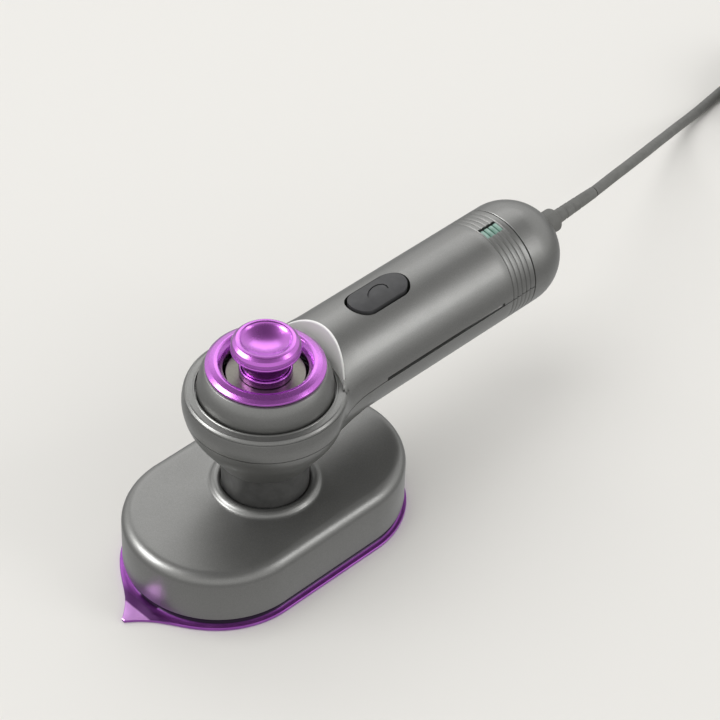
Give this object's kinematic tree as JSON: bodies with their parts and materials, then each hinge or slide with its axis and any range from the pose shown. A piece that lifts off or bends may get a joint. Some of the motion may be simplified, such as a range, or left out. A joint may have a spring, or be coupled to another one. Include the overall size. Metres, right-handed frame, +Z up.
{
  "type": "handheld steamer",
  "caption": "Compact handheld steamer: oval head on a pointed hot plate, swivelling round grip with pump knob, power button and mains lead.",
  "frame": {"origin": "on the hot plate's underside, on the axis that the grip swivels about", "axes": "+Z up; +X along the grip to its rear end, where the lead leaves; the point of the hot plate is towards -X"},
  "size_m": [0.4295, 0.138, 0.0871],
  "materials": {
    "satin_grey": "satin metallic grey lacquer on moulded plastic",
    "purple_metallic": "glossy purple metallic plating",
    "purple_plate": "purple ceramic coat on aluminium",
    "silver_disc": "satin",
    "charcoal": "fine matt grain",
    "grey_rubber": "soft matt",
    "cast_alloy": "as cast",
    "steel": "bright",
    "brass": "plain",
    "white_plastic": "plain",
    "gasket": "plain",
    "clear_plastic": "clear",
    "indicator_lens": "clear green",
    "circuit_board": "plain"
  },
  "bodies": {
    "head": {"soleplate": "purple_plate", "soleplate_gasket": "gasket", "heater_block": "cast_alloy", "heating_element": "steel", "thermostat": "white_plastic", "thermal_fuse": "white_plastic", "feed_tube": "steel", "head_casing": "satin_grey", "casing_screw_front": "steel", "casing_screw_rear": "steel", "pivot_tube": "steel", "flange_screw_1": "steel", "flange_screw_2": "steel", "flange_screw_3": "steel", "neck_sleeve": "charcoal", "swivel_nut": "brass"},
    "handle": {"thrust_washer": "white_plastic", "wave_washer": "steel", "upper_shell": "satin_grey", "lower_shell": "satin_grey", "shell_screw_front": "steel", "shell_screw_rear": "steel", "end_cap": "satin_grey", "strain_relief": "grey_rubber", "cord_clamp": "white_plastic", "inner_lead": "grey_rubber", "dome_cap": "satin_grey", "trim_ring": "purple_metallic", "pump_bezel": "silver_disc", "pump_collar": "purple_metallic", "pump_body": "white_plastic", "pump_spring": "steel", "water_tank": "clear_plastic", "tank_hose": "clear_plastic", "circuit_board": "circuit_board", "push_switch": "charcoal", "indicator_lens": "indicator_lens", "indicator_led": "white_plastic", "mains_cord": "grey_rubber", "cord_coil": "grey_rubber", "plug_lead": "grey_rubber", "coil_tie": "charcoal", "plug_body": "grey_rubber", "plug_pin_left": "brass", "plug_pin_right": "brass"},
    "pump_knob": {"pump_knob": "purple_metallic", "piston_seal": "grey_rubber"},
    "power_button": {"power_button": "charcoal"},
    "tank_plug": {"tank_plug": "charcoal"}
  },
  "joints": [
    {"name": "handle_swivel", "type": "hinge", "parent": "head", "child": "handle", "pos_m": [0, 0, 0.04], "axis": [0, 0, 1], "range_deg": [-90, 90]},
    {"name": "pump_press", "type": "slide", "parent": "handle", "child": "pump_knob", "axis": [0, 0, -1], "range_m": [0, 0.004], "stiffness_N_per_m": 400, "springref_m": -0.003, "deforming": ["pump_spring"]},
    {"name": "power_press", "type": "slide", "parent": "handle", "child": "power_button", "axis": [0, 0, -1], "range_m": [0, 0.0008], "stiffness_N_per_m": 1200, "springref_m": -0.0006},
    {"name": "tank_plug_pull", "type": "slide", "parent": "handle", "child": "tank_plug", "axis": [0, 0, -1], "range_m": [0, 0.012]}
  ]
}
